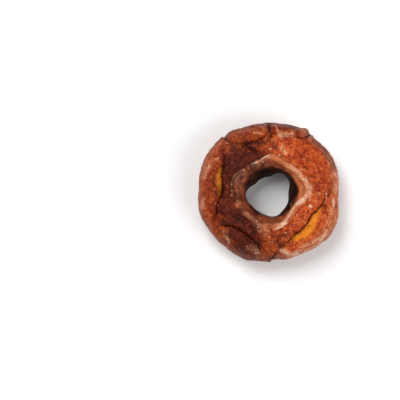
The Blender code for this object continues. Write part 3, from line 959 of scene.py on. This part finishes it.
def doughnut_skin(theta, phi):
    """Points of the skin, and what the material reads there."""
    skin = Skin(theta, phi)
    collar_form, out = collar_relief(skin)
    ledge_share = ledge_drop(skin)
    cracks, slot_and_shade, crumb = crack_relief(skin)
    seam, seam_line = seam_relief(skin)
    glaze = pale_glaze(skin, out)
    crust, hollow_shade, pits = crust_relief(skin, ledge_share, crumb, glaze)

    relief = skin.top * (collar_form - LEDGE_DROP * ledge_share) + cracks
    relief += skin.outer_side * seam + skin.bulges
    relief += ramp(-skin.up, *UNDER_SPAN) * under_relief(skin)
    relief += layered(lumps, skin.points, LUMPS, SEEDS["lumps"])
    relief += CRAG_HEIGHT * skin.torn * crags(skin.points, CRAG_SIZE, SEEDS["crags"])
    relief += crust + side_relief(skin) + GLAZE_RISE * glaze
    relief += CRUMB_ROUGH * crumb * lumps(skin.points, CRUMB_ROUGH_SIZE, SEEDS["crumb"])

    placed = skin.points + skin.normals * relief[:, None]
    base_pits = ramp(lumps(skin.points, BASE_PIT_SIZE, SEEDS["base_pits"]), *BASE_PIT_SPAN)
    base_pits = base_pits * ramp(-skin.up, *BASE_SPAN)
    placed[:, 2] = np.maximum(placed[:, 2], BASE_PIT_DEPTH * base_pits)
    marks = {
        "torn": skin.torn,
        "glaze": glaze,
        "crumb": np.clip(crumb, 0.0, 1.0),
        "slot_and_shade": np.clip(slot_and_shade + PIT_SHADE * pits, 0.0, 1.0),
        "hollow_shade": hollow_shade,
        "base_pit_shade": base_pits,
        **hole_marks(skin, placed),
        **place_marks(skin, ledge_share, seam_line),
    }
    return placed, marks


def ring_faces(rounds, sections):
    """The quads of a closed ring of points, facing outwards."""
    i, j = np.meshgrid(np.arange(rounds), np.arange(sections), indexing="ij")
    after, above = (i + 1) % rounds, (j + 1) % sections
    corners = (
        i * sections + j,
        after * sections + j,
        after * sections + above,
        i * sections + above,
    )
    return np.stack(corners, axis=-1).reshape(-1, 4)


def mesh_piece(name, points, faces, material, smooth=True):
    """A mesh object from an array of points and a list of faces."""
    mesh = bpy.data.meshes.new(name)
    mesh.from_pydata(points.tolist(), [], faces)
    mesh.validate()
    if smooth:
        mesh.shade_smooth()
    mesh.materials.append(material)
    piece = bpy.data.objects.new(name, mesh)
    bpy.context.scene.collection.objects.link(piece)
    return piece


def centred(points):
    """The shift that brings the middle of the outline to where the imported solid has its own."""
    low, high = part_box("doughnut")
    own = (points[:, :2].min(axis=0) + points[:, :2].max(axis=0)) / 2
    return np.array([(low.x + high.x) / 2 - own[0], (low.y + high.y) / 2 - own[1], 0.0])


def make_crust(material):
    """The doughnut's skin as one closed mesh, with its marks as attributes."""
    theta = np.linspace(-math.pi, math.pi, ROUND_STEPS, endpoint=False)
    phi = np.linspace(0.0, 2 * math.pi, SECTION_STEPS, endpoint=False)
    phi = phi - TOP_CROWDING * np.sin(phi - math.pi / 2)
    theta, phi = (grid.ravel() for grid in np.meshgrid(theta, phi, indexing="ij"))
    points, marks = doughnut_skin(theta, phi)
    points = points + centred(points)
    faces = ring_faces(ROUND_STEPS, SECTION_STEPS).tolist()
    crust = mesh_piece("crust", points, faces, material)
    for name, values in marks.items():
        attribute = crust.data.attributes.new(name, "FLOAT", "POINT")
        attribute.data.foreach_set("value", values.astype(np.float32))
    return crust, points, marks


def vertex_normals(mesh):
    flat = np.empty(len(mesh.vertices) * 3)
    mesh.vertices.foreach_get("normal", flat)
    return flat.reshape(-1, 3)


def chosen(weights, count, random):
    """Indices of points drawn at random, more often where the weight is larger."""
    return random.choice(len(weights), size=count, replace=False, p=weights / weights.sum())


def axes_on(normal, random):
    """Two directions along the surface, turned at random, and a third that leans off its normal."""
    up = normal + FLAKE_LEAN * random.standard_normal(3)
    up /= np.linalg.norm(up)
    along = np.cross(up, random.standard_normal(3))
    along /= np.linalg.norm(along)
    return along, np.cross(up, along), up


def flake_corners(place, normal, random):
    """The foot's corners and then the roof's, of one thin flake."""
    along, across, up = axes_on(normal, random)
    size = random.uniform(*FLAKE_SIZES) * random.choice(FLAKE_GROWTHS)
    reach = size * random.uniform(*FLAKE_REACHES, FLAKE_SIDES)
    stretch = random.uniform(*FLAKE_STRETCHES)
    turn = np.linspace(0.0, 2 * math.pi, FLAKE_SIDES, endpoint=False)
    outline = np.outer(reach * np.cos(turn) * stretch, along)
    outline = outline + np.outer(reach * np.sin(turn), across)
    return [place + outline * share + up * (level * size) for level, share in FLAKE_LEVELS]


def flake_faces(start):
    """The faces of a flake whose corners are numbered from start."""
    roof = start + FLAKE_SIDES
    faces = []
    for side in range(FLAKE_SIDES):
        after = (side + 1) % FLAKE_SIDES
        faces.append((start + side, start + after, roof + after, roof + side))
    for side in range(1, FLAKE_SIDES - 1):
        faces.append((start, start + side + 1, start + side))
        faces.append((roof, roof + side, roof + side + 1))
    return faces


def make_flakes(points, normals, weights, material):
    """Thin chips of dried glaze that lie on the crust; their pale colour also stands in for glints,
    as painted highlights.
    """
    random = np.random.default_rng(FLAKE_SEED)
    corners, faces = [], []
    for number, index in enumerate(chosen(weights, FLAKE_COUNT, random)):
        corners.extend(flake_corners(points[index], normals[index], random))
        faces.extend(flake_faces(2 * FLAKE_SIDES * number))
    return mesh_piece("glaze_flakes_and_glints", np.vstack(corners), faces, material, smooth=False)


def make_crumbs(points, normals, weights, material):
    """Small lumps of torn crumb in and beside the cracks."""
    random = np.random.default_rng(CRUMB_SEED)
    bpy.ops.mesh.primitive_ico_sphere_add(subdivisions=2, radius=1.0)
    ball = bpy.context.object
    shape = np.array([vertex.co for vertex in ball.data.vertices])
    sides = np.array([polygon.vertices for polygon in ball.data.polygons])
    bpy.data.objects.remove(ball)
    corners, faces = [], []
    for number, index in enumerate(chosen(weights, CRUMB_COUNT, random)):
        size = random.uniform(*CRUMB_SIZES)
        swell = 1.0 + CRUMB_LUMPINESS * lumps(shape, CRUMB_LUMP_SIZE, SEEDS["crumbs"] + number)
        own = shape * swell[:, None] * size * random.uniform(*CRUMB_STRETCHES, 3)
        faces.extend((sides + number * len(shape)).tolist())
        corners.append(points[index] + normals[index] * CRUMB_LIFT * size + own)
    return mesh_piece("crumbs", np.vstack(corners), faces, material)


class Shader:
    """Adds nodes to a material's tree, each input given as a value or as another node's output."""

    def __init__(self, name):
        self.material = bpy.data.materials.new(name)
        self.material.use_nodes = True
        self.tree = self.material.node_tree
        self.surface = self.tree.nodes["Principled BSDF"]
        self.place = self.add("ShaderNodeTexCoord").outputs["Object"]
        self.marks = {}

    def add(self, kind, inputs=None, settings=None):
        node = self.tree.nodes.new(kind)
        for name, value in (settings or {}).items():
            setattr(node, name, value)
        for name, value in (inputs or {}).items():
            self.give(node.inputs[name], value)
        return node

    def give(self, socket, value):
        if isinstance(value, bpy.types.NodeSocket):
            self.tree.links.new(value, socket)
        else:
            socket.default_value = value

    def mark(self, name):
        """What the mesh's mark of this name says."""
        if name not in self.marks:
            node = self.add("ShaderNodeAttribute", settings={"attribute_name": name})
            self.marks[name] = node.outputs["Fac"]
        return self.marks[name]

    def noise(self, size, detail, rough):
        inputs = {"Vector": self.place, "Scale": 1.0 / size, "Detail": detail, "Roughness": rough}
        return self.add("ShaderNodeTexNoise", inputs).outputs["Fac"]

    def cells(self, size):
        inputs = {"Vector": self.place, "Scale": 1.0 / size}
        return self.add("ShaderNodeTexVoronoi", inputs).outputs["Distance"]

    def spread(self, value, low, high, start, end):
        inputs = {0: value, 1: low, 2: high, 3: start, 4: end}
        return self.add("ShaderNodeMapRange", inputs).outputs[0]

    def math(self, operation, a, b):
        return self.add("ShaderNodeMath", {0: a, 1: b}, {"operation": operation}).outputs[0]

    def total(self, values, shares):
        """The sum of the values, each by its share."""
        parts = (self.math("MULTIPLY", value, share) for value, share in zip(values, shares))
        first, *others = parts
        for other in others:
            first = self.math("ADD", first, other)
        return first

    def ramp(self, value, stops):
        node = self.add("ShaderNodeValToRGB", {"Fac": value})
        elements = node.color_ramp.elements
        while len(elements) < len(stops):
            elements.new(0.5)
        for element, (position, colour) in zip(elements, stops):
            element.position = position
            element.color = (*colour, 1.0)
        return node.outputs["Color"]

    def mix(self, share, under, over):
        """One colour over another, each a node's output or a plain colour."""
        node = self.add("ShaderNodeMix", settings={"data_type": "RGBA"})
        self.give(node.inputs[0], share)
        for socket, value in ((node.inputs[6], under), (node.inputs[7], over)):
            self.give(socket, (*value, 1.0) if isinstance(value, tuple) else value)
        return node.outputs[2]

    def bump(self, height, distance, strength, normal=None):
        inputs = {"Height": height, "Distance": distance, "Strength": strength}
        if normal is not None:
            inputs["Normal"] = normal
        return self.add("ShaderNodeBump", inputs).outputs["Normal"]

    def finish(self, values):
        for name, value in values.items():
            self.give(self.surface.inputs[name], value)
        return self.material


def crust_base(shader, grit, skin_tone):
    """The colours of the torn crust and of the smooth skin."""
    outer_tone = shader.ramp(shader.noise(*OUTER_TEXTURE), OUTER_TONES)
    skin = shader.mix(shader.mark("outer"), shader.ramp(skin_tone, SKIN_TONES), outer_tone)
    return shader.mix(shader.mark("torn"), skin, shader.ramp(grit, TORN_TONES))


def crust_colour(shader, grain, mottle):
    """The crust without its glaze: each colour covers those before it where its mark says."""
    blotches, patches = shader.noise(*BLOTCH_TEXTURE), shader.noise(*PATCH_TEXTURE)
    # hollows darken the grit: painted shade
    grit = shader.total((grain, blotches, shader.mark("hollow_shade"), patches), GRIT_SHARES)
    skin_tone = shader.total((mottle, grain), SKIN_TONE_SHARES)
    covers = {
        name: shader.math("MULTIPLY", shader.mark(name), share)
        for name, share in MARK_COVERS.items()
    }
    freckled = shader.math("MAXIMUM", shader.mark("outer"), shader.mark("under"))
    freckles = shader.math("MULTIPLY", shader.spread(grain, *FRECKLE_SPREAD), freckled)
    seam = shader.math("MULTIPLY", shader.mark("pale"), shader.spread(grain, *SEAM_SPREAD))
    golden = shader.ramp(shader.noise(*GOLDEN_TEXTURE), GOLDEN_TONES)
    layers = (
        # painted shade on the steep side below the crust's edge
        (covers["ledge"], shader.ramp(grain, LEDGE_SHADE_TONES)),
        # painted light on the rim
        (covers["painted_rim_light"], PAINTED_RIM_LIGHT_TONE),
        # browner crust and painted shade
        (covers["browned_and_shaded"], shader.ramp(grit, BROWNED_AND_SHADED_TONES)),
        # painted shade on the rim
        (covers["rim"], RIM_SHADE_TONE),
        (freckles, FRECKLE_TONE),
        (seam, SEAM_TONE),
        (covers["under"], shader.ramp(grit, UNDER_TONES)),
        # painted shade in the pits underneath
        (covers["base_pit_shade"], BASE_PIT_SHADE_TONE),
        (shader.spread(shader.mark("crumb"), *CRUMB_SPREAD), golden),
        # painted shade on the collar towards the hole
        (covers["collar"], shader.ramp(skin_tone, COLLAR_SHADE_TONES)),
        # the hole's wall: darker crust and painted shade
        (shader.mark("wall_crust_and_shade"), shader.ramp(skin_tone, WALL_CRUST_AND_SHADE_TONES)),
        # painted shade in the cracks and pits
        (covers["slot_and_shade"], SLOT_SHADE_TONE),
    )
    colour = crust_base(shader, grit, skin_tone)
    for share, tone in layers:
        colour = shader.mix(share, colour, tone)
    return colour


def glazed(shader, grain, colour):
    """The crust's colour under a milky film, and cream where the glaze is thick."""
    dark = shader.math("MAXIMUM", shader.mark("collar"), shader.mark("browned_and_shaded"))
    milky = shader.mix(shader.spread(dark, *MILKY_ON_DARK_SPREAD), colour, MILKY_TONE)
    cream = shader.ramp(shader.noise(*CREAM_TEXTURE), CREAM_TONES)
    film = shader.math("MULTIPLY", shader.mark("glaze"), shader.spread(grain, *FILM_SPREAD))
    colour = shader.mix(shader.spread(film, *MILKY_SPREAD), colour, milky)
    return shader.mix(shader.spread(film, *CREAM_SPREAD), colour, cream)


def crust_roughness(shader, mottle):
    """Rougher on torn crust and bare crumb, and smoother where the glaze is thick."""
    rough = shader.spread(shader.mark("torn"), *TORN_ROUGHNESS_SPREAD)
    more = shader.total(map(shader.mark, MARK_ROUGHENS), MARK_ROUGHENS.values())
    rough = shader.math("ADD", rough, more)
    return shader.math("ADD", rough, shader.spread(mottle, *MOTTLE_ROUGHNESS_SPREAD))


def crust_normal(shader, grain):
    """Grit on the torn crust over soft dents everywhere."""
    grit = shader.math("ADD", grain, shader.cells(SPECK_SIZE))
    grit = shader.math("MULTIPLY", grit, shader.mark("torn"))
    normal = shader.bump(grit, *GRIT_BUMP)
    return shader.bump(shader.noise(*DENT_TEXTURE), *DENT_BUMP, normal)


def crust_material():
    """Torn fried crust, smooth glazed skin, golden crumb in the cracks and pale pooled glaze."""
    shader = Shader("glazed_crust")
    grain = shader.noise(*GRAIN_TEXTURE)
    mottle = shader.noise(*MOTTLE_TEXTURE)
    colour = crust_colour(shader, grain, mottle)
    return shader.finish(
        {
            "Base Color": glazed(shader, grain, colour),
            "Roughness": crust_roughness(shader, mottle),
            "Normal": crust_normal(shader, grain),
            "Coat Weight": shader.math("MULTIPLY", shader.mark("glaze"), GLAZE_COAT),
            **CRUST_SURFACE,
        }
    )


def flake_material():
    """Dried glaze, pale and a little clear; the pale colour also paints glints."""
    shader = Shader("dried_glaze_and_glints")
    colour = shader.ramp(shader.noise(*FLAKE_TEXTURE), FLAKE_AND_GLINT_TONES)
    normal = shader.bump(shader.noise(*FLAKE_DENT_TEXTURE), *FLAKE_BUMP)
    return shader.finish({"Base Color": colour, "Normal": normal, **FLAKE_SURFACE})


def crumb_material():
    """Torn golden crumb."""
    shader = Shader("torn_crumb")
    colour = shader.ramp(shader.noise(*CRUMB_TEXTURE), LOOSE_CRUMB_TONES)
    normal = shader.bump(shader.noise(*CRUMB_DENT_TEXTURE), *CRUMB_BUMP)
    return shader.finish({"Base Color": colour, "Roughness": CRUMB_ROUGHNESS, "Normal": normal})


def floor_material():
    shader = Shader("pale_floor")
    return shader.finish({"Base Color": FLOOR_COLOUR, "Roughness": FLOOR_ROUGHNESS})


def make_floor():
    bpy.ops.mesh.primitive_plane_add(size=FLOOR_SIZE)
    floor = bpy.context.object
    floor.name = "floor"
    floor.data.materials.append(floor_material())
    floor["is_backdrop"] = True


def make_light(name, place, size, power):
    """A large soft lamp that faces the doughnut."""
    data = bpy.data.lights.new(name, "AREA")
    data.size = size
    data.energy = power
    lamp = bpy.data.objects.new(name, data)
    lamp.location = place
    lamp.rotation_euler = (-lamp.location).to_track_quat("-Z", "Y").to_euler()
    bpy.context.scene.collection.objects.link(lamp)


def make_world():
    world = bpy.data.worlds.new("soft_sky")
    world.use_nodes = True
    background = world.node_tree.nodes["Background"]
    background.inputs["Color"].default_value = WORLD_COLOUR
    background.inputs["Strength"].default_value = WORLD_STRENGTH
    bpy.context.scene.world = world


def make_camera():
    """Straight down, over the middle of the picture, with the doughnut right of it."""
    data = bpy.data.cameras.new("camera")
    data.sensor_width = SENSOR
    data.lens = SENSOR * (CAMERA_HEIGHT - WAIST_HEIGHT) / FRAME_WIDTH
    data.clip_end = 2 * CAMERA_HEIGHT
    camera = bpy.data.objects.new("camera", data)
    camera.location = (CAMERA_X, CAMERA_Y, CAMERA_HEIGHT)
    bpy.context.scene.collection.objects.link(camera)
    bpy.context.scene.camera = camera


def corners(box):
    return [list(corner) for corner in box]


def main():
    for old in list(bpy.data.objects):
        bpy.data.objects.remove(old, do_unlink=True)
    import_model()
    cad_box = corners(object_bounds())

    crust, points, marks = make_crust(crust_material())
    normals = vertex_normals(crust.data)
    upward = np.clip(normals[:, 2], 0.0, 1.0)
    speckled = FLAKE_SPRINKLE * marks["torn"] * (1.0 - marks["browned_and_shaded"]) + marks["glaze"] ** 2
    flakes = make_flakes(points, normals, upward * speckled + LEAST_WEIGHT, flake_material())
    bare = np.clip(marks["crumb"] - CRUMB_LEAST_BARE, 0.0, 1.0)
    crumbs = make_crumbs(points, normals, upward * bare + LEAST_WEIGHT, crumb_material())
    for piece in (crust, flakes, crumbs):
        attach(piece, "root")
    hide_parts("doughnut")

    make_floor()
    make_world()
    make_light("key", KEY_PLACE, KEY_SIZE, KEY_POWER)
    make_light("fill", FILL_PLACE, FILL_SIZE, FILL_POWER)
    make_camera()
    bpy.context.scene.view_settings.view_transform = "Standard"

    {"cad": cad_box, "visual": corners(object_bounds())}


main()
